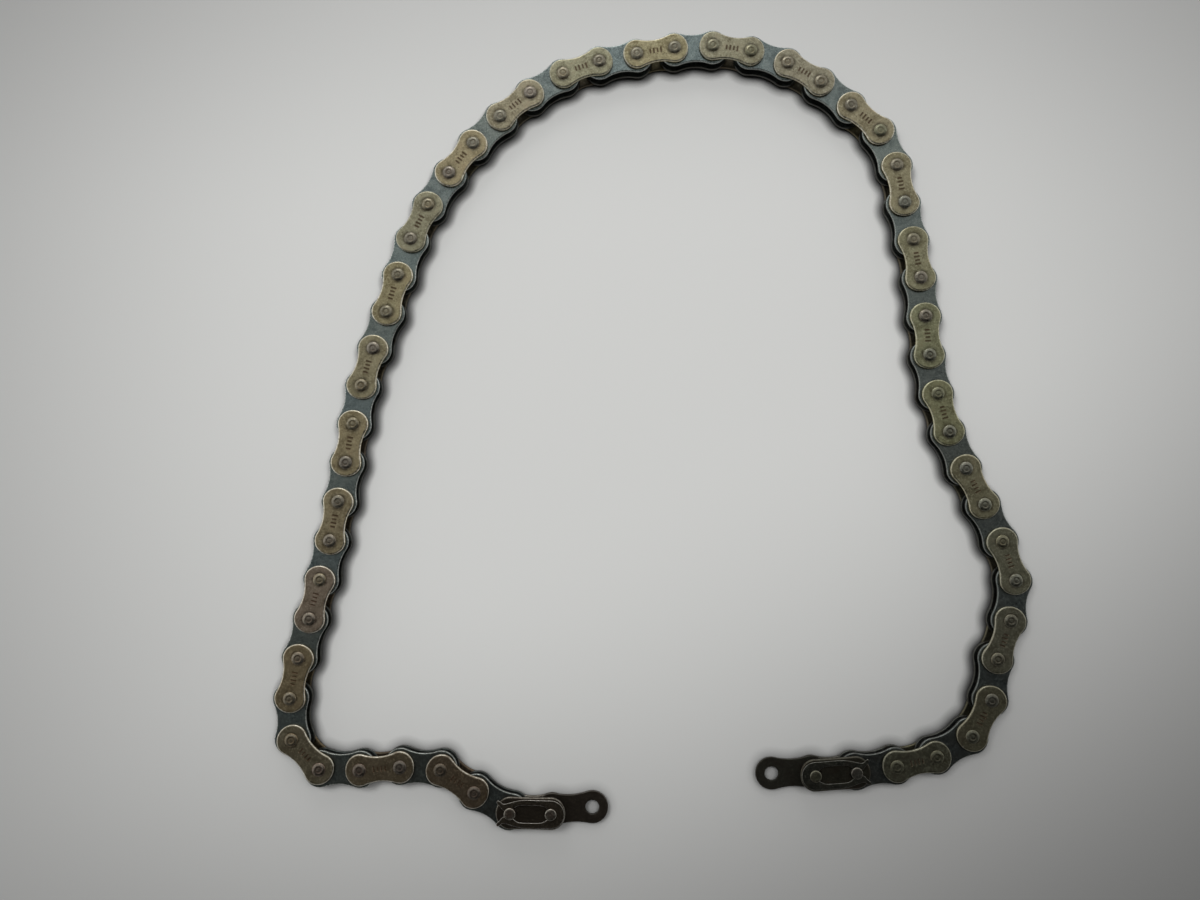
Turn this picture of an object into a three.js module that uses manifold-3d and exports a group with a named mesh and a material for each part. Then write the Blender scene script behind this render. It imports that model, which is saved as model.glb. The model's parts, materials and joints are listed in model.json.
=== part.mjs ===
// A single-strand roller chain, 1/2 inch pitch by 1/8 inch wide, lying on its side in an open
// horseshoe. Millimetres, +Z up. Every hinge pin stands upright, and the lowest pin ends are at
// z = 0. Outer links and inner links alternate. Each free end has a connecting link, closed by a
// spring clip, which holds one flat end plate with a plain hole.
import * as THREE from "three";
import { mergeVertices } from "three/addons/utils/BufferGeometryUtils.js";
import Module from "manifold-3d";

// Driving dimensions.
const PITCH = 12.7; // between two pin centres
const LINK_COUNT = 57; // end plates, connecting links, outer links and inner links together
const PIN_RADIUS = 1.8;
const PIN_PROUD = 0.5; // how far a riveted pin end stands out of its plate
const ROLLER_RADIUS = 3.875;
const INNER_WIDTH = 3.3; // between the plates of an inner link, where a sprocket tooth goes
const PLATE_THICKNESS = 1.0;
const SIDE_PLAY = 0.15; // between an inner plate and the outer plate over it
const OUTER_EYE = 4.5; // how far an outer plate's round ends stand out past its pins
const INNER_EYE = 5.2;
const EYE_RISE = 1.1; // a link plate's eyes are this much wider across the link than along it
const OUTER_WAIST = 3.8; // half the height of an outer plate at its middle
const INNER_WAIST = 4.55;
const COVER_WAIST = 4.85; // the connecting link's loose plate is nearly straight-sided
const END_PLATE_THICKNESS = 1.2;
const END_EYE = 5.0; // an end plate's eyes are true circles
const END_WAIST = 4.15;
const END_HOLE_RADIUS = 2.15;
const CLIP_THICKNESS = 0.7;
const CLIP_PLAY = 0.1; // under and over the clip in its groove
const GROOVE_RADIUS = 1.3; // the neck that the clip grips
const CONNECTING_HEAD = 0.4; // a connecting pin's head, over its groove
const CLIP_HALF_WIDTH = 4.2;
const CLIP_SLOT = 1.42; // half the gap between the clip's arms at both pins
const CLIP_BOW = 2.6; // half the gap midway between the pins
const CLIP_PINCH = 0.92; // half the gap just behind the second pin
const CLIP_REACH = 4.1; // how far the tips stand out past the second pin

// Facets. A bore's flats stay outside the corners of the pin that turns in it.
const PIN_SIDES = 10;
const ROLLER_SIDES = 12;
const EYE_STEPS = 6;
const BORE_RADIUS = (PIN_RADIUS + 0.05) / Math.cos(Math.PI / PIN_SIDES);

// Levels from the floor up, through a link lying on its side.
const LOWER_OUTER = PIN_PROUD;
const LOWER_INNER = LOWER_OUTER + PLATE_THICKNESS + SIDE_PLAY;
const UPPER_INNER = LOWER_INNER + PLATE_THICKNESS + INNER_WIDTH;
const UPPER_OUTER = UPPER_INNER + PLATE_THICKNESS + SIDE_PLAY;
const PLATE_TOP = UPPER_OUTER + PLATE_THICKNESS;
const PIN_TOP = PLATE_TOP + PIN_PROUD;
const CLIP_BOTTOM = PLATE_TOP + CLIP_PLAY;
const GROOVE_TOP = CLIP_BOTTOM + CLIP_THICKNESS + CLIP_PLAY;
const CONNECTING_PIN_TOP = GROOVE_TOP + CONNECTING_HEAD;

// The route that the chain lies along, from the left end round the arch to the right end.
const ROUTE = [
  [-9, -83], [-35, -83.5], [-45, -78], [-57, -70.5], [-70, -70], [-83, -71], [-95, -70.5],
  [-103.5, -61], [-104, -48], [-98.5, -24], [-92.5, 1], [-88, 26], [-83.5, 51], [-75.5, 76],
  [-68, 100], [-55.5, 122], [-38.5, 141], [-17, 155.5], [7, 161.5], [32, 163.8], [57, 157],
  [77, 142], [87.5, 131], [93, 108], [97.5, 82], [99.5, 57], [105.5, 32.5], [115.5, 10.5],
  [124, -14], [117, -37.5], [114, -52], [107, -61.5], [96, -66.7], [72, -71], [46, -72.5],
];

const wasm = await Module();
wasm.setup();

// Solids: a closed geometry goes in, and joined or cut solids come back as a geometry.
function solid(geometry) {
  const bare = geometry.clone();
  bare.deleteAttribute("normal");
  bare.deleteAttribute("uv");
  const merged = mergeVertices(bare, 1e-5);
  const vertProperties = new Float32Array(merged.attributes.position.array);
  const triVerts = new Uint32Array(merged.index.array);
  return new wasm.Manifold(new wasm.Mesh({ numProp: 3, vertProperties, triVerts }));
}

function joined(solids) {
  return solids.reduce((whole, next) => whole.add(next));
}

function toGeometry(body) {
  const mesh = body.getMesh();
  const geometry = new THREE.BufferGeometry();
  const vertices = new Float32Array(mesh.vertProperties);
  geometry.setAttribute("position", new THREE.BufferAttribute(vertices, 3));
  geometry.setIndex(new THREE.BufferAttribute(new Uint32Array(mesh.triVerts), 1));
  geometry.computeVertexNormals();
  return geometry;
}

// An upright round bar about the point (x, 0), from one level to another.
function bar(x, radius, from, to, sides) {
  const geometry = new THREE.CylinderGeometry(radius, radius, to - from, sides);
  geometry.rotateX(Math.PI / 2);
  geometry.translate(x, 0, (from + to) / 2);
  return solid(geometry);
}

function slab(outline, bottom, thickness) {
  const options = { depth: thickness, bevelEnabled: false, steps: 1, curveSegments: 1 };
  const geometry = new THREE.ExtrudeGeometry(outline, options);
  geometry.translate(0, 0, bottom);
  return solid(geometry);
}

function arc(x, y, radius, from, to, steps) {
  const points = [];
  for (let i = 0; i <= steps; i += 1) {
    const angle = from + ((to - from) * i) / steps;
    points.push(new THREE.Vector2(x + radius * Math.cos(angle), y + radius * Math.sin(angle)));
  }
  return points;
}

// The figure-of-eight outline of a link plate: two round eyes about the pins at x = 0 and
// x = PITCH, and on each side a hollow arc that is tangent to both eyes. The whole outline is then
// drawn out across the link, up to the waist that is asked for.
function plateOutline(eye, waist, rise = EYE_RISE) {
  const half = PITCH / 2;
  const round = waist / rise;
  const hollow = (half * half + round * round - eye * eye) / (2 * (eye - round));
  const reach = Math.PI - Math.atan2(round + hollow, half);
  const points = [
    ...arc(PITCH, 0, eye, -reach, reach, EYE_STEPS),
    new THREE.Vector2(half, round),
    ...arc(0, 0, eye, Math.PI - reach, Math.PI + reach, EYE_STEPS),
    new THREE.Vector2(half, -round),
  ];
  return new THREE.Shape(points.map(({ x, y }) => new THREE.Vector2(x, y * rise)));
}

function bothPins(make) {
  return [make(0), make(PITCH)];
}

// Outer link: two plates, and two pins pressed and riveted into them.
function outerLink() {
  const outline = plateOutline(OUTER_EYE, OUTER_WAIST);
  const plates = [LOWER_OUTER, UPPER_OUTER].map((z) => slab(outline, z, PLATE_THICKNESS));
  const pins = bothPins((x) => bar(x, PIN_RADIUS, 0, PIN_TOP, PIN_SIDES));
  return toGeometry(joined([...plates, ...pins]));
}

// Inner link: two plates, pressed onto two bushes that each carry a roller.
function innerLink() {
  const outline = plateOutline(INNER_EYE, INNER_WAIST);
  const plates = [LOWER_INNER, UPPER_INNER].map((z) => slab(outline, z, PLATE_THICKNESS));
  const bottom = LOWER_INNER + PLATE_THICKNESS;
  const rollers = bothPins((x) => bar(x, ROLLER_RADIUS, bottom, UPPER_INNER, ROLLER_SIDES));
  const bores = bothPins((x) => bar(x, BORE_RADIUS, -1, PIN_TOP, PIN_SIDES));
  return toGeometry(joined([...plates, ...rollers]).subtract(joined(bores)));
}

// Connecting link: a plate with two grooved pins, and the cover plate that the clip holds on.
function connectingLink() {
  const pinPlate = slab(plateOutline(OUTER_EYE, OUTER_WAIST), LOWER_OUTER, PLATE_THICKNESS);
  const coverPlate = slab(plateOutline(OUTER_EYE, COVER_WAIST), UPPER_OUTER, PLATE_THICKNESS);
  const shanks = bothPins((x) => bar(x, PIN_RADIUS, 0, PLATE_TOP, PIN_SIDES));
  const necks = bothPins((x) => bar(x, GROOVE_RADIUS, UPPER_OUTER, CONNECTING_PIN_TOP, PIN_SIDES));
  const heads = bothPins((x) => bar(x, PIN_RADIUS, GROOVE_TOP, CONNECTING_PIN_TOP, PIN_SIDES));
  return toGeometry(joined([pinPlate, coverPlate, ...shanks, ...necks, ...heads]));
}

// Spring clip: a flat hairpin round both grooves. Its closed end is by the pin at x = 0. Its arms
// bow apart between the pins, pinch in behind the pin at x = PITCH and flare again at their tips.
function springClip() {
  const bend = CLIP_HALF_WIDTH;
  const grip = PITCH + 1.9;
  const tip = PITCH + CLIP_REACH;
  const outside = [
    [PITCH - 4, bend],
    [PITCH - 1, bend - 0.5],
    [grip, bend - 1.3],
    [tip, bend - 0.2],
  ];
  const inside = [
    [tip - 0.9, CLIP_BOW],
    [grip, CLIP_PINCH],
    [PITCH + 1.2, CLIP_SLOT],
    [PITCH - 1, CLIP_SLOT],
    [PITCH - 3, CLIP_BOW],
    [3, CLIP_BOW],
    [1, CLIP_SLOT],
  ];
  const side = [...outside, ...inside].map(([x, y]) => new THREE.Vector2(x, y));
  const mirrored = side.map((point) => new THREE.Vector2(point.x, -point.y)).reverse();
  const points = [
    ...arc(0, 0, bend, (Math.PI * 3) / 2, Math.PI / 2, 6),
    ...side,
    ...arc(0, 0, CLIP_SLOT, Math.PI / 2, (Math.PI * 3) / 2, 4),
    ...mirrored,
  ];
  return toGeometry(slab(new THREE.Shape(points), CLIP_BOTTOM, CLIP_THICKNESS));
}

// End plate: one flat plate on the connecting link's pin at x = 0, with a free hole at x = PITCH.
function endPlate() {
  const outline = plateOutline(END_EYE, END_WAIST, 1);
  const plate = slab(outline, LOWER_INNER, END_PLATE_THICKNESS);
  const top = LOWER_INNER + END_PLATE_THICKNESS + 1;
  const holes = bothPins((x) => bar(x, END_HOLE_RADIUS, 0, top, PIN_SIDES));
  return toGeometry(plate.subtract(joined(holes)));
}

// Pin centres: the joints of the chain stepped along the route, one pitch at a time.
function pinCentres() {
  const corners = ROUTE.map(([x, y]) => new THREE.Vector3(x, y, 0));
  const curve = new THREE.CatmullRomCurve3(corners, false, "centripetal");
  const fine = curve.getPoints(6000);
  const centres = [fine[0]];
  for (const point of fine) {
    const last = centres[centres.length - 1];
    if (centres.length <= LINK_COUNT && point.distanceTo(last) >= PITCH) {
      const step = point.clone().sub(last).setLength(PITCH);
      centres.push(last.clone().add(step));
    }
  }
  return centres;
}

const STEEL_FINISHES = {
  outer: { color: 0x9a8763, roughness: 0.38, metalness: 0.9 },
  inner: { color: 0x7d8b8c, roughness: 0.35, metalness: 0.9 },
  dark: { color: 0x35332e, roughness: 0.45, metalness: 0.85 },
  clip: { color: 0x4a4843, roughness: 0.3, metalness: 0.9 },
};

const SHAPES = {
  outer: outerLink(),
  inner: innerLink(),
  connecting: connectingLink(),
  clip: springClip(),
  end: endPlate(),
};

// One named mesh with its pin at x = 0 on one centre and its pin at x = PITCH on the other.
function place(chain, name, shape, finish, from, to) {
  const material = new THREE.MeshStandardMaterial(STEEL_FINISHES[finish]);
  const mesh = new THREE.Mesh(SHAPES[shape], material);
  mesh.name = name;
  mesh.position.copy(from);
  mesh.rotation.z = Math.atan2(to.y - from.y, to.x - from.x);
  chain.add(mesh);
}

function buildChain() {
  const chain = new THREE.Group();
  const centres = pinCentres();
  const last = LINK_COUNT - 1;
  place(chain, "end_plate_left", "end", "dark", centres[1], centres[0]);
  place(chain, "connecting_link_left", "connecting", "dark", centres[1], centres[2]);
  place(chain, "spring_clip_left", "clip", "clip", centres[1], centres[2]);
  for (let i = 2; i < last - 1; i += 1) {
    const kind = i % 2 ? "outer" : "inner";
    const number = String(Math.floor(i / 2)).padStart(2, "0");
    place(chain, `${kind}_link_${number}`, kind, kind, centres[i], centres[i + 1]);
  }
  place(chain, "connecting_link_right", "connecting", "dark", centres[last], centres[last - 1]);
  place(chain, "spring_clip_right", "clip", "clip", centres[last], centres[last - 1]);
  place(chain, "end_plate_right", "end", "dark", centres[last], centres[last + 1]);
  const box = new THREE.Box3().setFromObject(chain, true);
  const middle = box.getCenter(new THREE.Vector3());
  chain.position.set(-middle.x, -middle.y, 0);
  return chain;
}

export default buildChain();
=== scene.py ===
"""A single-strand roller chain lying on its side on a pale desk, seen from above.

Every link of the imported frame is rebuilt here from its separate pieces: plates, riveted pins,
bushes, rollers, and at each free end the connecting link's plates, grooved pins and spring clip.
A piece is modelled in its link's own millimetres, with one pin at x = 0 and the other at
x = PITCH, and is then placed on the two hinge points that the frame gives for that link.
"""

import json
import math
import random

import bmesh
import bpy
from mathutils import Matrix, Vector

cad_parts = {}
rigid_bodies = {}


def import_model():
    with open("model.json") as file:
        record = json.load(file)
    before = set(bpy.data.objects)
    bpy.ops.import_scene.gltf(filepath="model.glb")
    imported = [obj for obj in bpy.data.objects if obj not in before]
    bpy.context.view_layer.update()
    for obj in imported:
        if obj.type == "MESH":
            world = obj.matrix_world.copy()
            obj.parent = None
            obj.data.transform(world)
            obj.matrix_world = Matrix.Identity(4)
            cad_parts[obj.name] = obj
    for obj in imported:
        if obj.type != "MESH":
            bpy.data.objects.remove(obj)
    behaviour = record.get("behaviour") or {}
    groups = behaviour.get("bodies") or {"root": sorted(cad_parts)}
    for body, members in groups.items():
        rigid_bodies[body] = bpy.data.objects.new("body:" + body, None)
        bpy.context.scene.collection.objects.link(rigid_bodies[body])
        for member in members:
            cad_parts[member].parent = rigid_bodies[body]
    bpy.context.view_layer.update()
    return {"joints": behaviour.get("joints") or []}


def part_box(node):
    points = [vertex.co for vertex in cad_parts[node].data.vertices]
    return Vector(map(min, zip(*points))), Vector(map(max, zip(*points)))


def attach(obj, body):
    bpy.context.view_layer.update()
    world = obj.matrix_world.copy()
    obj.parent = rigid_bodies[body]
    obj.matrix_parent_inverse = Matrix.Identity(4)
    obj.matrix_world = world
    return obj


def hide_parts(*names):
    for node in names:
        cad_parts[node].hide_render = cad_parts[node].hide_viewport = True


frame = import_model()

MM = 0.001

# Sizes in millimetres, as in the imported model.
PITCH = 12.7
HALF = PITCH / 2
PLATE = 1.0
OUTER_EYE = 4.5
INNER_EYE = 5.2
EYE_RISE = 1.1
OUTER_WAIST = 3.8
INNER_WAIST = 4.55
COVER_WAIST = 4.85
PIN = 1.8
ROLLER = 3.875
ROLLER_BORE = 2.75
BUSH = 2.62
BUSH_BORE = 1.86
END_EYE = 5.0
END_WAIST = 4.15
END_HOLE = 2.15
CLIP_THICKNESS = 0.7
CLIP_PLAY = 0.1
CLIP_HALF_WIDTH = 4.2
CLIP_SLOT = 1.42
CLIP_BOW = 2.6
CLIP_PINCH = 0.92
CLIP_REACH = 4.1
GROOVE = 1.3

# Levels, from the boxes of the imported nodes.
OUTER_LOW, OUTER_HIGH = (corner.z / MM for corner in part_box("outer_link_01"))
INNER_LOW, INNER_HIGH = (corner.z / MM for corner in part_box("inner_link_01"))
END_LOW, END_HIGH = (corner.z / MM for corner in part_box("end_plate_left"))
CLIP_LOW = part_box("spring_clip_left")[0].z / MM
CONNECTING_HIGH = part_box("connecting_link_left")[1].z / MM
MIDDLE = (OUTER_LOW + OUTER_HIGH) / 2
PIN_PROUD = 0.5
OUTER_TOP = OUTER_HIGH - PIN_PROUD

# How far the edges are rounded.
OUTER_EDGE = 0.5
INNER_EDGE = 0.3
END_EDGE = 0.2
CLIP_EDGE = 0.15
ROLLER_EDGE = 0.3
HOLE_EDGE = 0.12

# The bars stamped in each upper outer plate.
STAMP_COUNT = 4
STAMP_SPACING = 1.2
STAMP_WIDTH = 0.36
STAMP_HEIGHTS = (1.4, 1.75)

# Fineness of the round shapes.
EYE_STEPS = 30
HOLLOW_STEPS = 10
EDGE_STEPS = 4
ROUND = 36


# ---------------------------------------------------------------- camera

# The camera stands almost straight above the middle of the lay, tipped a little off plumb.
CAMERA_PLACE = Vector((-9.93, -40.11, 326.2)) * MM
CAMERA_TIP_X = math.radians(5.26)
CAMERA_TIP_Y = math.radians(1.16)
CAMERA_LENS = 30.0


def make_camera():
    data = bpy.data.cameras.new("camera")
    data.sensor_width = 36.0
    data.lens = CAMERA_LENS
    data.clip_start = 0.01
    data.clip_end = 20.0
    camera = bpy.data.objects.new("camera", data)
    bpy.context.scene.collection.objects.link(camera)
    turn = Matrix.Rotation(CAMERA_TIP_Y, 4, "Y") @ Matrix.Rotation(CAMERA_TIP_X, 4, "X")
    camera.matrix_world = Matrix.Translation(CAMERA_PLACE) @ turn
    bpy.context.scene.camera = camera


# ---------------------------------------------------------------- mesh shapes, in millimetres


def circle(x, y, radius, count=ROUND):
    angles = [2 * math.pi * k / count for k in range(count)]
    return [(x + radius * math.cos(a), y + radius * math.sin(a)) for a in angles]


def plate_outline(eye, waist, inset, rise=EYE_RISE):
    """The figure-of-eight outline: two round eyes joined by hollow arcs tangent to both, and all
    of it drawn out across the link, up to the waist that is asked for."""
    low = waist / rise
    hollow = (HALF**2 + low**2 - eye**2) / (2 * (eye - low))
    slope = math.atan2(low + hollow, HALF)
    reach = math.pi - slope
    points = []
    for k in range(EYE_STEPS + 1):
        a = -reach + 2 * reach * k / EYE_STEPS
        points.append((PITCH + (eye - inset) * math.cos(a), rise * (eye - inset) * math.sin(a)))
    for k in range(1, HOLLOW_STEPS):
        a = -slope - (math.pi - 2 * slope) * k / HOLLOW_STEPS
        x = HALF + (hollow + inset) * math.cos(a)
        points.append((x, rise * (low + hollow + (hollow + inset) * math.sin(a))))
    return points + [(PITCH - x, -y) for x, y in points]


class Shape:
    """A mesh in the making, with a rim value for each vertex: above nought a paler rim, partly wear
    and partly painted highlight, below nought painted shade.
    """

    def __init__(self):
        self.bm = bmesh.new()
        self.rim = self.bm.verts.layers.float.new("rim")

    def ring(self, points, z, rim=0.0):
        verts = [self.bm.verts.new((x, y, z)) for x, y in points]
        for vert in verts:
            vert[self.rim] = rim
        return verts

    def loft(self, rings):
        """Joins each ring to the next, all with as many points."""
        for low, high in zip(rings, rings[1:]):
            count = len(low)
            for k in range(count):
                n = (k + 1) % count
                self.bm.faces.new((low[k], low[n], high[n], high[k]))

    def fill(self, *loops):
        """Fills the flat face between an outer loop and any holes in it."""
        edges = []
        for loop in loops:
            for k, vert in enumerate(loop):
                other = loop[(k + 1) % len(loop)]
                found = self.bm.edges.get((vert, other))
                edges.append(found or self.bm.edges.new((vert, other)))
        bmesh.ops.triangle_fill(self.bm, edges=edges, use_beauty=True, use_dissolve=False)

    def mesh(self, name):
        bmesh.ops.recalc_face_normals(self.bm, faces=self.bm.faces)
        mesh = bpy.data.meshes.new(name)
        bmesh.ops.scale(self.bm, vec=(MM, MM, MM), verts=self.bm.verts)
        self.bm.to_mesh(mesh)
        self.bm.free()
        for polygon in mesh.polygons:
            polygon.use_smooth = True
        mesh.set_sharp_from_angle(angle=math.radians(40))
        return mesh


def edge_rings(shape, make, bottom, top, edge, field):
    """Rings of a slab's side from the bottom field to the top field, with rounded edges. The upper
    edge is paler, partly wear and partly painted highlight, and painted shade darkens the wall
    under it."""
    # Rim values: painted shade on the wall and round the lower edge, a paler upper edge.
    rings = [(field, bottom, 0.0), (edge + 0.08, bottom, 0.1)]
    for k in range(EDGE_STEPS + 1):
        a = math.pi / 2 * k / EDGE_STEPS
        rings.append((edge * (1 - math.sin(a)), bottom + edge * (1 - math.cos(a)), 0.1 - 0.16 * k))
    for k in range(EDGE_STEPS + 1):
        a = math.pi / 2 * k / EDGE_STEPS
        wear_and_highlight = 1.5 * math.sin(2 * a) - 0.5 if k < EDGE_STEPS else 0.2
        rings.append((edge * (1 - math.cos(a)), top - edge * (1 - math.sin(a)), wear_and_highlight))
    rings += [(edge + 0.08, top, 0.12), (field, top, 0.0)]
    return [shape.ring(make(inset), z, rim) for inset, z, rim in rings]


def hole_rings(shape, x, radius, bottom, top, edge, count=ROUND):
    # Rim values: a paler hole edge, partly wear and partly painted highlight.
    half = [(radius + edge + 0.35, bottom, 0.0), (radius + edge + 0.05, bottom, 0.5)]
    half += [(radius + edge * 0.3, bottom + edge * 0.3, 0.9), (radius, bottom + edge, 0.6)]
    other = [(r, bottom + top - z, rim) for r, z, rim in reversed(half)]
    rings = [shape.ring(circle(x, 0, r, count), z, rim) for r, z, rim in half + other]
    shape.loft(rings)
    return rings


def box_outline(x, width, height):
    """A bar with cut corners, standing across the link."""
    w, h, cut = width / 2, height / 2, width / 4
    corners = [(w, cut - h), (w, h - cut), (w - cut, h), (cut - w, h)]
    return [(x + u, v) for u, v in corners] + [(x - u, -v) for u, v in corners]


def stamp_bars(shape, top):
    """A row of plain short bars pressed into the face between the pins. Returns the loops that
    cut the face round them."""
    loops = []
    for k in range(STAMP_COUNT):
        x = HALF + STAMP_SPACING * (k - (STAMP_COUNT - 1) / 2)
        tall = STAMP_HEIGHTS[k % 2]
        sunk = []
        # The bars' sides and floors carry painted shade.
        for grow, z, painted_shade in ((0.5, top, 0.0), (0.16, top, -0.5), (0.0, top - 0.1, -1.0)):
            sunk.append(shape.ring(box_outline(x, STAMP_WIDTH + grow, tall + grow), z, painted_shade))
        shape.loft(sunk)
        shape.fill(sunk[-1])
        loops.append(sunk[0])
    return loops


def plate_mesh(name, eye, waist, bottom, top, hole, edge=OUTER_EDGE, rise=EYE_RISE,
               stamped=False):
    """A link plate between two levels, with rounded edges and two holes of one radius."""
    shape = Shape()
    rings = edge_rings(
        shape, lambda inset: plate_outline(eye, waist, inset, rise), bottom, top, edge, edge + 0.5
    )
    shape.loft(rings)
    holes = [hole_rings(shape, x, hole, bottom, top, HOLE_EDGE) for x in (0, PITCH)]
    marks = stamp_bars(shape, top) if stamped else []
    shape.fill(rings[0], *(h[0] for h in holes))
    shape.fill(rings[-1], *(h[-1] for h in holes), *marks)
    return shape.mesh(name)


def turned_over(mesh, name):
    """The same plate for the chain's under side: mirrored in the middle level."""
    copy = mesh.copy()
    copy.name = name
    copy.transform(Matrix.Translation((0, 0, MIDDLE * MM)) @ Matrix.Scale(-1, 4, (0, 0, 1))
                   @ Matrix.Translation((0, 0, -MIDDLE * MM)))
    copy.flip_normals()
    return copy


def lathe_mesh(name, profile, rims=None, count=ROUND, closed=False):
    """Turns a profile of (radius, level) about the upright axis. An open profile runs from the
    axis to the axis, and a closed one goes round a tube's wall."""
    shape = Shape()
    rims = rims or [0.0] * len(profile)
    if closed:
        rings = [shape.ring(circle(0, 0, r, count), z, w) for (r, z), w in zip(profile, rims)]
        shape.loft(rings + [rings[0]])
    else:
        inner = list(zip(profile, rims))[1:-1]
        rings = [shape.ring(circle(0, 0, r, count), z, w) for (r, z), w in inner]
        shape.loft(rings)
        for (_, z), ring in ((profile[0], rings[0]), (profile[-1], rings[-1])):
            tip = shape.ring([(0, 0)], z)[0]
            for k in range(count):
                shape.bm.faces.new((ring[k], ring[(k + 1) % count], tip))
    return shape.mesh(name)


def riveted_pin_mesh():
    """A pin with its ends spread over the plates: a low head, ringed by the riveting."""
    top = OUTER_HIGH
    face = OUTER_TOP
    # The third number is the rim value: painted shadow where the head meets the plate and in the
    # riveting ring, and a paler crown, partly wear and partly painted highlight.
    head = [
        (PIN, face - 0.15, -0.5), (PIN + 0.02, face - 0.02, -0.6), (PIN + 0.26, face + 0.01, -0.8),
        (PIN + 0.34, face + 0.07, -0.7), (PIN + 0.3, face + 0.17, -0.3),
        (PIN + 0.14, face + 0.3, 0.2), (PIN - 0.14, top - 0.1, 0.5), (PIN - 0.42, top - 0.03, 0.45),
        (PIN - 0.6, top, 0.3), (PIN - 0.78, top - 0.01, 0.1), (PIN - 0.92, top - 0.05, -0.3),
        (PIN - 1.02, top - 0.07, -0.3), (PIN - 1.16, top - 0.04, 0.1), (0.3, top - 0.02, 0.4),
        (0, top - 0.02, 0.4),
    ]
    upper = [((r, z), rim) for r, z, rim in head]
    lower = [((r, 2 * MIDDLE - z), rim) for (r, z), rim in reversed(upper)]
    both = lower + upper
    return lathe_mesh("riveted_pin", [p for p, _ in both], [rim for _, rim in both])


def grooved_pin_mesh():
    """A connecting pin: riveted below, and a groove for the clip under a chamfered head."""
    neck_low = OUTER_TOP + 0.02
    neck_high = CLIP_LOW + CLIP_THICKNESS + CLIP_PLAY
    top = CONNECTING_HIGH
    face = 2 * MIDDLE - OUTER_TOP
    profile = [
        (0, 0.06), (0.7, 0.03), (PIN - 0.3, 0.0), (PIN - 0.05, 0.1), (PIN + 0.18, face - 0.25),
        (PIN + 0.16, face - 0.02), (PIN, face + 0.1), (PIN, neck_low - 0.12),
        (PIN - 0.1, neck_low), (GROOVE, neck_low + 0.02), (GROOVE, neck_high - 0.02),
        (PIN - 0.06, neck_high), (PIN, neck_high + 0.06), (PIN, top - 0.22),
        (PIN - 0.06, top - 0.1), (PIN - 0.2, top - 0.02), (PIN - 0.36, top), (0.6, top - 0.01),
        (0, top - 0.02),
    ]
    # Rim values: painted shade in the clip's groove, and paler chamfers, partly wear and partly
    # painted highlight.
    rims = [0.1, 0.2, 0.8, 1.0, 0.8, 0.2, 0.0, 0.0, 0.3, -0.5, -0.5, 0.4, 0.8, 0.8, 1.0, 1.0,
            0.7, 0.1, 0.0]
    return lathe_mesh("grooved_pin", profile, rims)


def roller_mesh():
    """A roller: a short tube with rounded outer edges, just free of both inner plates."""
    low, high = INNER_LOW + PLATE + 0.05, INNER_HIGH - PLATE - 0.05
    edge = ROLLER_EDGE
    # Rim values: paler rounded edges, partly wear and partly painted highlight.
    profile, rims = [], []
    for centre, start in ((low + edge, -math.pi / 2), (high - edge, 0.0)):
        for k in range(EDGE_STEPS + 1):
            a = start + math.pi / 2 * k / EDGE_STEPS
            profile.append((ROLLER - edge + edge * math.cos(a), centre + edge * math.sin(a)))
            rims.append(0.9)
    profile += [(ROLLER_BORE + 0.1, high), (ROLLER_BORE, high - 0.1)]
    profile += [(ROLLER_BORE, low + 0.1), (ROLLER_BORE + 0.1, low)]
    rims += [0.5, 0.0, 0.0, 0.5]
    return lathe_mesh("roller", profile, rims, closed=True)


def bush_mesh():
    """A bush: a thin tube pressed through both inner plates, round the pin."""
    low, high = INNER_LOW + 0.03, INNER_HIGH - 0.03
    profile = [(BUSH - 0.1, low), (BUSH, low + 0.1), (BUSH, high - 0.1), (BUSH - 0.1, high),
               (BUSH_BORE + 0.08, high), (BUSH_BORE, high - 0.08), (BUSH_BORE, low + 0.08),
               (BUSH_BORE + 0.08, low)]
    return lathe_mesh("bush", profile, closed=True)


def smooth_line(corners, steps):
    """A Catmull-Rom line through the corners, which stay on it."""
    ends = [corners[0]] + corners + [corners[-1]]
    points = []
    for a, b, c, d in zip(ends, ends[1:], ends[2:], ends[3:]):
        for k in range(steps):
            t = k / steps
            points.append(tuple(
                0.5 * (2 * q + (r - p) * t + (2 * p - 5 * q + 4 * r - s) * t * t
                       + (3 * q - p - 3 * r + s) * t**3)
                for p, q, r, s in zip(a, b, c, d)))
    return points + [corners[-1]]


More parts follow.
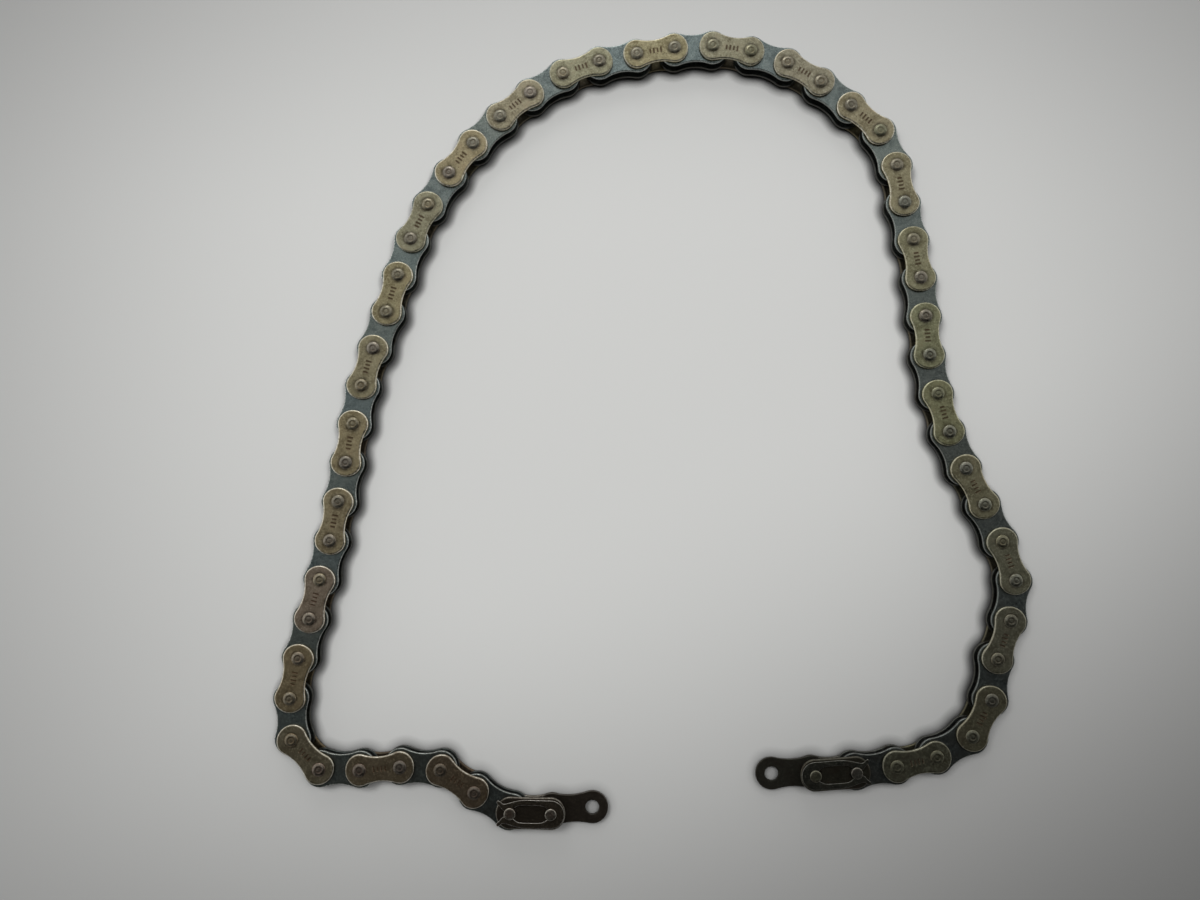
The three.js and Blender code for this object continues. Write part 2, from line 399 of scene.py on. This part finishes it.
def clip_outline():
    """The hairpin clip: a round closed end on the pin at x = 0, and two arms that bow apart,
    pinch in behind the pin at x = PITCH and flare again at their rounded tips."""
    bend = CLIP_HALF_WIDTH
    grip = PITCH + 1.9
    tip = PITCH + CLIP_REACH
    slot = CLIP_SLOT
    bow = CLIP_BOW
    arm = [
        (0.6, bend), (3.2, bend), (PITCH - 4.4, bend), (PITCH - 1.6, bend - 0.42),
        (grip - 1.3, bend - 1.05), (grip - 0.1, bend - 1.28), (grip + 0.6, bend - 1.04),
        (tip - 0.95, bend - 0.54), (tip - 0.55, bend - 0.32), (tip - 0.15, bend - 0.42),
        (tip, bend - 0.85), (tip - 0.2, bow + 0.22), (tip - 0.85, bow - 0.32),
        (grip + 0.7, slot + 0.08), (grip + 0.3, CLIP_PINCH + 0.16), (grip - 0.1, CLIP_PINCH),
        (grip - 0.55, CLIP_PINCH + 0.2),
        (PITCH + 0.7, slot), (PITCH - 0.9, slot + 0.06), (PITCH - 2.3, bow - 0.3),
        (PITCH - 3.8, bow), (3.8, bow), (2.3, bow - 0.3), (0.9, slot + 0.06),
    ]
    side = smooth_line(arm, 5)
    turns = [math.pi / 2 + math.pi * k / 24 for k in range(25)]
    inner_bend = [(slot * math.cos(a), slot * math.sin(a)) for a in turns]
    outer_bend = [(bend * math.cos(a), bend * math.sin(a)) for a in reversed(turns)]
    return side + inner_bend + [(x, -y) for x, y in reversed(side)] + outer_bend


def offset_loop(points, inset):
    """A dense loop moved inwards by a small inset."""
    count = len(points)
    area = sum(points[k - 1][0] * points[k][1] - points[k][0] * points[k - 1][1]
               for k in range(count))
    side = math.copysign(inset, area)
    moved = []
    for k, (x, y) in enumerate(points):
        before, after = points[k - 1], points[(k + 1) % count]
        run = math.dist(before, after)
        moved.append((x - side * (after[1] - before[1]) / run,
                      y + side * (after[0] - before[0]) / run))
    return moved


def clip_mesh():
    """The spring clip: its outline between two levels, with rounded edges."""
    shape = Shape()
    outline = clip_outline()
    rings = edge_rings(
        shape, lambda inset: offset_loop(outline, inset), CLIP_LOW, CLIP_LOW + CLIP_THICKNESS,
        CLIP_EDGE, 2 * CLIP_EDGE
    )
    shape.loft(rings)
    shape.fill(rings[0])
    shape.fill(rings[-1])
    return shape.mesh("clip")


# ---------------------------------------------------------------- materials


class Nodes:
    """Short calls for building one material's node tree. Patterns run in millimetres of the
    piece's own frame, and each piece has its own seed."""

    def __init__(self, name):
        self.material = bpy.data.materials.new(name)
        self.material.use_nodes = True
        self.tree = self.material.node_tree
        self.shader = self.tree.nodes["Principled BSDF"]
        coordinates = self.add("ShaderNodeTexCoord").outputs["Object"]
        self.place = self.vector("SCALE", coordinates, scale=1 / MM)
        self.seed = self.attribute("seed")
        self.rim = self.attribute("rim")

    def add(self, kind):
        return self.tree.nodes.new(kind)

    def link(self, value, socket):
        if isinstance(value, bpy.types.NodeSocket):
            self.tree.links.new(value, socket)
        elif value is not None:
            socket.default_value = value

    def attribute(self, name):
        node = self.add("ShaderNodeAttribute")
        node.attribute_name = name
        return node.outputs["Fac"]

    def vector(self, operation, a, b=None, scale=None):
        node = self.add("ShaderNodeVectorMath")
        node.operation = operation
        self.link(a, node.inputs[0])
        self.link(b, node.inputs[1])
        self.link(scale, node.inputs[3])
        return node.outputs[1 if operation in ("DISTANCE", "DOT_PRODUCT") else 0]

    def maths(self, operation, a, b=None, c=None, clamp=False):
        node = self.add("ShaderNodeMath")
        node.operation = operation
        node.use_clamp = clamp
        for value, socket in zip((a, b, c), node.inputs):
            self.link(value, socket)
        return node.outputs[0]

    def noise(self, scale, detail=3.0, roughness=0.55, stretch=None, distortion=0.0, shift=0.0):
        node = self.add("ShaderNodeTexNoise")
        node.noise_dimensions = "4D"
        place = self.vector("MULTIPLY", self.place, stretch) if stretch else self.place
        self.link(place, node.inputs["Vector"])
        self.link(self.maths("MULTIPLY_ADD", self.seed, 40.0, shift), node.inputs["W"])
        node.inputs["Scale"].default_value = scale
        node.inputs["Detail"].default_value = detail
        node.inputs["Roughness"].default_value = roughness
        node.inputs["Distortion"].default_value = distortion
        return node.outputs["Fac"]

    def spread(self, value, low, high, to_low=0.0, to_high=1.0, shape="SMOOTHSTEP"):
        node = self.add("ShaderNodeMapRange")
        node.interpolation_type = shape
        for item, socket in zip((value, low, high, to_low, to_high), node.inputs):
            self.link(item, socket)
        return node.outputs["Result"]

    def mix(self, factor, a, b, mode="MIX"):
        node = self.add("ShaderNodeMix")
        node.data_type = "RGBA"
        node.blend_type = mode
        node.clamp_factor = True
        self.link(factor, node.inputs[0])
        for value, socket in ((a, node.inputs[6]), (b, node.inputs[7])):
            self.link((*value, 1.0) if isinstance(value, tuple) else value, socket)
        return node.outputs[2]

    def bump(self, height, distance, before=None):
        node = self.add("ShaderNodeBump")
        node.inputs["Strength"].default_value = 1.0
        node.inputs["Distance"].default_value = distance * MM
        self.link(height, node.inputs["Height"])
        self.link(before, node.inputs["Normal"])
        return node.outputs["Normal"]


def flat_distance(nodes):
    """The distance in plan to the nearer pin centre."""
    flat = nodes.vector("MULTIPLY", nodes.place, (1.0, 1.0, 0.0))
    near = nodes.vector("DISTANCE", flat, (0.0, 0.0, 0.0))
    far = nodes.vector("DISTANCE", flat, (PITCH, 0.0, 0.0))
    return nodes.maths("MINIMUM", near, far)


BRONZE_CASTS = ((1.14, 0.97, 0.93), (0.91, 1.035, 0.97))
BLUE_CASTS = ((0.97, 1.03, 1.04), (0.90, 0.87, 0.85))
WARMTHS = ((1.02, 1.02, 0.88), (0.98, 0.98, 1.12))
BLUE_WARMTHS = ((1.02, 1.0, 0.99), (0.97, 1.0, 1.07))
RUST_AND_SHADE_COLOUR = (0.20, 0.075, 0.03)
DIRT_AND_SHADE_COLOUR = (0.034, 0.029, 0.023)


def steel(name, deep, middle, bright, rim, rough, grime_and_shadow=0.0, rust=0.0, casts=BRONZE_CASTS,
          warmths=WARMTHS):
    """Used steel: cloudy tarnish between three colours, a warmer or greener cast on each piece,
    long fine scratches, small pits, a paler rim that is partly wear and partly painted highlight,
    painted shade on walls and in recesses, grime and painted shadow round the pins, patchy
    darkening that is painted shade on the lower plates, and rust."""
    n = Nodes(name)
    darkening = n.attribute("darkening")
    cast = n.attribute("cast")
    clouds = n.noise(0.32, 5.0, 0.62, distortion=0.4)
    mottle = n.noise(1.7, 4.0, 0.6, shift=11.0)
    scratch = n.noise(0.9, 3.0, 0.7, stretch=(0.35, 7.0, 7.0), shift=23.0)
    pits = n.noise(6.5, 2.0, 0.5, shift=31.0)
    colour = n.mix(n.spread(clouds, 0.36, 0.64), deep, middle)
    colour = n.mix(n.maths("MULTIPLY", n.spread(mottle, 0.46, 0.72), 0.7), colour, bright)
    colour = n.mix(n.maths("MULTIPLY", n.spread(scratch, 0.6, 0.74), 0.3), colour, bright)
    colour = n.mix(1.0, colour, n.mix(cast, *casts), mode="MULTIPLY")
    warmth = n.mix(n.maths("FRACT", n.maths("MULTIPLY", n.seed, 7.0)), *warmths)
    colour = n.mix(1.0, colour, warmth, mode="MULTIPLY")
    # The paler rim, partly wear and partly painted highlight.
    wear_and_highlight = n.maths("MULTIPLY_ADD", n.spread(mottle, 0.35, 0.65), 0.6, 0.4)
    wear_and_highlight = n.maths("MULTIPLY", wear_and_highlight, n.spread(n.rim, 0.1, 1.0), clamp=True)
    wear_and_highlight = n.maths("MULTIPLY", wear_and_highlight, n.spread(cast, 0.5, 0.8, 1.0, 0.35))
    colour = n.mix(wear_and_highlight, colour, rim)
    # Rust in tarnished patches, and painted shade in rust colour where the rim value is below
    # nought.
    rust_and_shade = n.maths("MULTIPLY", n.spread(clouds, 0.5, 0.68), n.spread(pits, 0.35, 0.6))
    painted_shade = n.maths("MULTIPLY", n.rim, -0.45, clamp=True)
    rust_and_shade = n.maths("MULTIPLY_ADD", rust_and_shade, rust, painted_shade, clamp=True)
    colour = n.mix(rust_and_shade, colour, RUST_AND_SHADE_COLOUR)
    # Dirt in the pits, and painted shade where the rim value is below nought.
    dirt_and_shade = n.maths("MULTIPLY", n.spread(pits, 0.64, 0.74), 0.5)
    dirt_and_shade = n.maths("ADD", dirt_and_shade, n.maths("MULTIPLY", n.rim, -0.6, clamp=True), clamp=True)
    # A dark ring round each pin, part grime and part painted shadow where the head meets the plate.
    if grime_and_shadow:
        ring = n.spread(flat_distance(n), PIN + 0.35, PIN + 1.5, 1.0, 0.0)
        patchy = n.spread(n.noise(0.6, 4.0, 0.65, shift=47.0), 0.38, 0.62, 0.35, 1.0)
        ring = n.maths("MULTIPLY", ring, patchy)
        dirt_and_shade = n.maths("MULTIPLY_ADD", ring, grime_and_shadow, dirt_and_shade, clamp=True)
    # Patchy darkening: painted shade on the lower plates, and darker towards the free ends.
    patchy_darkening = n.maths("MULTIPLY", darkening, n.spread(clouds, 0.25, 0.75, 0.55, 1.0))
    patchy_darkening = n.maths("MULTIPLY", patchy_darkening, n.maths("MULTIPLY_ADD", wear_and_highlight, -0.35, 1.0))
    dirt_and_shade = n.maths("MAXIMUM", dirt_and_shade, patchy_darkening)
    # One dark colour for the dirt, the grime and all the painted shade.
    colour = n.mix(dirt_and_shade, colour, DIRT_AND_SHADE_COLOUR)
    n.link(colour, n.shader.inputs["Base Color"])
    n.shader.inputs["Metallic"].default_value = 1.0
    gloss = n.spread(mottle, 0.3, 0.7, rough - 0.07, rough + 0.1)
    gloss = n.maths("MULTIPLY_ADD", wear_and_highlight, -0.08, gloss)
    n.link(n.maths("MULTIPLY_ADD", dirt_and_shade, 0.12, gloss), n.shader.inputs["Roughness"])
    normal = n.bump(clouds, 0.10)
    normal = n.bump(scratch, 0.014, normal)
    n.link(n.bump(mottle, 0.022, normal), n.shader.inputs["Normal"])
    return n.material


MATERIALS = {
    "outer_plate": steel("outer_plate", (0.235, 0.20, 0.135), (0.38, 0.338, 0.24),
                         (0.56, 0.51, 0.385), (0.95, 0.91, 0.78), 0.33, grime_and_shadow=0.75, rust=0.26),
    "inner_plate": steel("inner_plate", (0.155, 0.19, 0.18), (0.25, 0.30, 0.28),
                         (0.38, 0.435, 0.405), (0.72, 0.75, 0.70), 0.28, grime_and_shadow=0.3, rust=0.06,
                         casts=BLUE_CASTS, warmths=BLUE_WARMTHS),
    "rivet_pin": steel("rivet_pin", (0.15, 0.13, 0.095), (0.235, 0.21, 0.16),
                       (0.37, 0.34, 0.275), (0.56, 0.52, 0.43), 0.34, rust=0.15),
    "roller": steel("roller", (0.05, 0.052, 0.056), (0.085, 0.087, 0.09), (0.15, 0.15, 0.148),
                    (0.28, 0.275, 0.26), 0.36, casts=BLUE_CASTS),
    "bush": steel("bush", (0.10, 0.095, 0.085), (0.16, 0.155, 0.14), (0.22, 0.21, 0.19),
                  (0.3, 0.29, 0.26), 0.4),
    "dark_plate": steel("dark_plate", (0.065, 0.058, 0.048), (0.105, 0.094, 0.076),
                        (0.16, 0.145, 0.118), (0.44, 0.42, 0.36), 0.36, grime_and_shadow=0.5, rust=0.3),
    "dark_pin": steel("dark_pin", (0.17, 0.15, 0.12), (0.28, 0.25, 0.20), (0.42, 0.38, 0.32),
                      (0.60, 0.57, 0.49), 0.3, rust=0.2),
    "clip_steel": steel("clip_steel", (0.085, 0.08, 0.07), (0.15, 0.14, 0.12),
                        (0.25, 0.235, 0.205), (0.98, 0.95, 0.88), 0.3, rust=0.1),
    "end_plate": steel("end_plate", (0.07, 0.068, 0.06), (0.11, 0.106, 0.093),
                       (0.155, 0.149, 0.132), (0.26, 0.255, 0.23), 0.42, grime_and_shadow=0.2, rust=0.05),
}


# ---------------------------------------------------------------- placing the pieces

seeds = random.Random(7)


def link_places():
    """For each body, where its x = 0 pin is and which way its x = PITCH pin lies."""
    hinges = {}
    for joint in sorted(frame["joints"], key=lambda j: j["name"]):
        for body in (joint["parent"], joint["child"]):
            hinges.setdefault(body, []).append(Vector(joint["pos_m"][:2]))
    places = {}
    for body, points in hinges.items():
        if len(points) == 1:
            low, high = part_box(body)
            points.append((low + high).xy - points[0])
        elif body.startswith("connecting") and body.endswith("right"):
            points.reverse()
        along = points[1] - points[0]
        turn = Matrix.Rotation(math.atan2(along.y, along.x), 4, "Z")
        places[body] = Matrix.Translation(points[0].to_3d()) @ turn
    return places


def places_along():
    """Each body's place along the chain, from 0 at one free end to 1 at the other."""
    order = []
    for joint in sorted(frame["joints"], key=lambda j: j["name"]):
        pair = [joint["parent"], joint["child"]]
        order += sorted((b for b in pair if b not in order), key=lambda b: "end_plate" not in b)
    return {body: k / (len(order) - 1) for k, body in enumerate(order)}


PLACES = link_places()
ALONG = places_along()
# How much darker each kind of piece is at a free end, and how far along the chain the darkening
# reaches.
END_DARKENING = {
    "inner_plate": (1.0, 0.36),
    "rivet_pin": (0.9, 0.19),
    "dark_pin": (0.7, 0.24),
    "clip_steel": (0.8, 0.24),
}
COMMON_END_DARKENING = (1.0, 0.24)
# Painted shade on the chain's lower plates, which lie in the shade under the chain.
LOWER_PLATE_SHADE = 0.97
UPPER_INNER_DARKENING = 0.08
# How the cast runs from one end of the chain to the other, and how much the pieces differ.
CAST_BEND = 0.48
CAST_SCATTER = 0.4


def piece(name, mesh, material, body, node=None, x=0.0, darkening=0.0):
    """One real piece: its own mesh, placed on its link and riding with it. Its colour darkens
    towards the chain's free ends, the lower plates carry painted shade, and the chain's two halves
    have weathered to different casts."""
    along = ALONG[body]
    most, stretch = END_DARKENING.get(material, COMMON_END_DARKENING)
    end_darkening = most * max(0.0, 1 - min(along, 1 - along) / stretch)
    values = {
        "seed": seeds.random(),
        "cast": along**CAST_BEND + CAST_SCATTER * (seeds.random() - 0.5),
        "darkening": 1 - (1 - darkening) * (1 - end_darkening),
    }
    own = mesh.copy()
    own.name = name
    for label, value in values.items():
        data = own.attributes.new(label, "FLOAT", "POINT").data
        data.foreach_set("value", [value] * len(own.vertices))
    own.materials.append(MATERIALS[material])
    made = bpy.data.objects.new(name, own)
    bpy.context.scene.collection.objects.link(made)
    made.matrix_world = PLACES[body] @ Matrix.Translation((x * MM, 0, 0))
    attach(made, body)
    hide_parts(node or body)
    return made


def both_ends(name, mesh, material, body):
    piece(f"{name}_a", mesh, material, body)
    piece(f"{name}_b", mesh, material, body, x=PITCH)


def make_outer_links():
    upper = plate_mesh("outer_plate", OUTER_EYE, OUTER_WAIST, OUTER_TOP - PLATE, OUTER_TOP, PIN,
                       stamped=True)
    lower = turned_over(upper, "outer_plate_lower")
    pin = riveted_pin_mesh()
    for body in sorted(b for b in PLACES if b.startswith("outer_link")):
        piece(f"{body}_upper_plate", upper, "outer_plate", body)
        # The lower plate carries painted shade.
        piece(f"{body}_lower_plate", lower, "outer_plate", body, darkening=LOWER_PLATE_SHADE)
        both_ends(f"{body}_pin", pin, "rivet_pin", body)


def make_inner_links():
    upper = plate_mesh("inner_plate", INNER_EYE, INNER_WAIST, INNER_HIGH - PLATE, INNER_HIGH, BUSH,
                       edge=INNER_EDGE)
    lower = turned_over(upper, "inner_plate_lower")
    bush = bush_mesh()
    roller = roller_mesh()
    for body in sorted(b for b in PLACES if b.startswith("inner_link")):
        piece(f"{body}_upper_plate", upper, "inner_plate", body,
              darkening=UPPER_INNER_DARKENING)
        # The lower plate carries painted shade.
        piece(f"{body}_lower_plate", lower, "inner_plate", body, darkening=LOWER_PLATE_SHADE)
        both_ends(f"{body}_bush", bush, "bush", body)
        both_ends(f"{body}_roller", roller, "roller", body)


def make_connecting_links():
    low_face = 2 * MIDDLE - OUTER_TOP
    pin_plate = plate_mesh("pin_plate", OUTER_EYE, OUTER_WAIST, low_face, low_face + PLATE, PIN)
    cover = plate_mesh("cover_plate", OUTER_EYE, COVER_WAIST, OUTER_TOP - PLATE, OUTER_TOP,
                       PIN + 0.05)
    end = plate_mesh("end_plate", END_EYE, END_WAIST, END_LOW, END_HIGH, END_HOLE,
                     edge=END_EDGE, rise=1.0)
    pin = grooved_pin_mesh()
    clip = clip_mesh()
    for side in ("left", "right"):
        body = f"connecting_link_{side}"
        piece(f"{body}_pin_plate", pin_plate, "dark_plate", body)
        piece(f"{body}_cover_plate", cover, "dark_plate", body)
        both_ends(f"{body}_pin", pin, "dark_pin", body)
        clip_node = f"spring_clip_{side}"
        piece(f"{clip_node}_fine", clip, "clip_steel", body, node=clip_node)
        end_body = f"end_plate_{side}"
        piece(f"{end_body}_fine", end, "end_plate", end_body)


# ---------------------------------------------------------------- floor and light


DESK_REACH = 3.0
DESK_COLOUR = (0.355, 0.356, 0.348)
DESK_ROUGHNESS = 0.6
# In millimetres: where the desk's painted light is brightest, and the way it falls off to the
# viewer's right.
DESK_BRIGHTEST = (-10.0, 20.0, 0.0)
DESK_LEAN = (0.4, -0.92, 0.0)
# The painted contact shadow beside the chain: how wide it can be, and how strong it is along
# the chain and at the two free ends.
CONTACT_REACH = 3.6
CONTACT_SAMPLES = 12
CONTACT_ALONG = 2.6
CONTACT_AT_ENDS = 0.8


def make_floor():
    """A pale desk with painted light in its colour: darker towards its edges, its far side and the
    viewer's right, and darkest in a painted contact shadow, a narrow band where the chain rests on
    it."""
    mesh = bpy.data.meshes.new("desk")
    sides = (-DESK_REACH, DESK_REACH)
    corners = [(x, y, 0) for y in sides for x in sides]
    mesh.from_pydata(corners, [], [(0, 1, 3, 2)])
    n = Nodes("desk")
    n.shader.inputs["Roughness"].default_value = DESK_ROUGHNESS
    away = n.vector("DISTANCE", n.place, DESK_BRIGHTEST)
    lean = n.vector("DOT_PRODUCT", n.place, DESK_LEAN)
    beyond = n.vector("DOT_PRODUCT", n.place, (0.0, 1.0, 0.0))
    colour = DESK_COLOUR
    # Painted light: the desk's colour fades away from the brightest spot, to the viewer's right and
    # to the far side.
    fades = ((away, 80, 320, 0.52), (lean, 20, 240, 0.42), (beyond, 60, 180, 0.84))
    for measure, near, far, dim in fades:
        colour = n.vector("SCALE", colour, scale=n.spread(measure, near, far, 1.0, dim))
    # Painted contact shadow: ambient occlusion darkens the desk's colour beside the chain, less at
    # the free ends.
    contact = n.add("ShaderNodeAmbientOcclusion")
    contact.samples = CONTACT_SAMPLES
    contact.inputs["Distance"].default_value = CONTACT_REACH * MM
    strength = n.spread(beyond, -112, -90, CONTACT_AT_ENDS, CONTACT_ALONG, shape="LINEAR")
    shade = n.maths("POWER", contact.outputs["AO"], strength)
    n.link(n.vector("SCALE", colour, scale=shade), n.shader.inputs["Base Color"])
    mesh.materials.append(n.material)
    desk = bpy.data.objects.new("desk", mesh)
    bpy.context.scene.collection.objects.link(desk)


# The way to the dim part of the room, and how bright the room is as one turns towards it.
SKY_DIM_SIDE = (0.20, -0.85, 0.49)
SKY_STOPS = ((0.0, 0.68), (0.17, 0.62), (0.29, 0.50), (0.41, 0.31), (0.47, 0.20), (0.53, 0.11),
             (0.59, 0.05), (0.65, 0.02), (0.72, 0.01))
SKY_LOW_LIGHT = (("From Min", 0.5), ("From Max", 0.12), ("To Min", 0.0), ("To Max", 0.6))


def make_sky():
    """A plain room: bright beyond the top of the picture and low all round, and dim overhead on
    the viewer's side. Steel shows the change from one to the other along the chain."""
    world = bpy.data.worlds.new("room")
    bpy.context.scene.world = world
    world.use_nodes = True
    tree = world.node_tree
    place = tree.nodes.new("ShaderNodeTexCoord").outputs["Generated"]
    viewer = tree.nodes.new("ShaderNodeVectorMath")
    viewer.operation = "DOT_PRODUCT"
    viewer.inputs[1].default_value = Vector(SKY_DIM_SIDE).normalized()
    tree.links.new(place, viewer.inputs[0])
    ramp = tree.nodes.new("ShaderNodeValToRGB")
    tree.links.new(viewer.outputs["Value"], ramp.inputs["Fac"])
    for _ in SKY_STOPS[2:]:
        ramp.color_ramp.elements.new(0.5)
    for element, (near, light) in zip(ramp.color_ramp.elements, SKY_STOPS):
        element.position = near
        element.color = (light, light, light, 1.0)
    split = tree.nodes.new("ShaderNodeSeparateXYZ")
    tree.links.new(place, split.inputs[0])
    low = tree.nodes.new("ShaderNodeMapRange")
    low.interpolation_type = "SMOOTHSTEP"
    for name, value in SKY_LOW_LIGHT:
        low.inputs[name].default_value = value
    tree.links.new(split.outputs["Z"], low.inputs["Value"])
    total = tree.nodes.new("ShaderNodeVectorMath")
    total.operation = "ADD"
    tree.links.new(ramp.outputs["Color"], total.inputs[0])
    tree.links.new(low.outputs["Result"], total.inputs[1])
    background = tree.nodes["Background"]
    tree.links.new(total.outputs[0], background.inputs["Color"])


def make_lamp(name, place, size, power, glints=True):
    """A square lamp facing the middle of the chain. Without glints, steel doesn't mirror it."""
    data = bpy.data.lights.new(name, "AREA")
    data.size = size
    data.energy = power
    lamp = bpy.data.objects.new(name, data)
    bpy.context.scene.collection.objects.link(lamp)
    lamp.location = place
    lamp.rotation_mode = "QUATERNION"
    lamp.rotation_quaternion = Vector(place).to_track_quat("Z", "Y")
    lamp.visible_glossy = glints


make_camera()
make_outer_links()
make_inner_links()
make_connecting_links()
make_floor()
make_sky()
make_lamp("left", (-0.27, 0.17, 0.85), 0.28, 6.6, glints=False)
make_lamp("right", (0.22, 0.10, 0.85), 0.28, 4.2, glints=False)
make_lamp("window", (-0.2, 1.3, 1.0), 0.5, 3.0)
bpy.context.scene.view_settings.view_transform = "Standard"
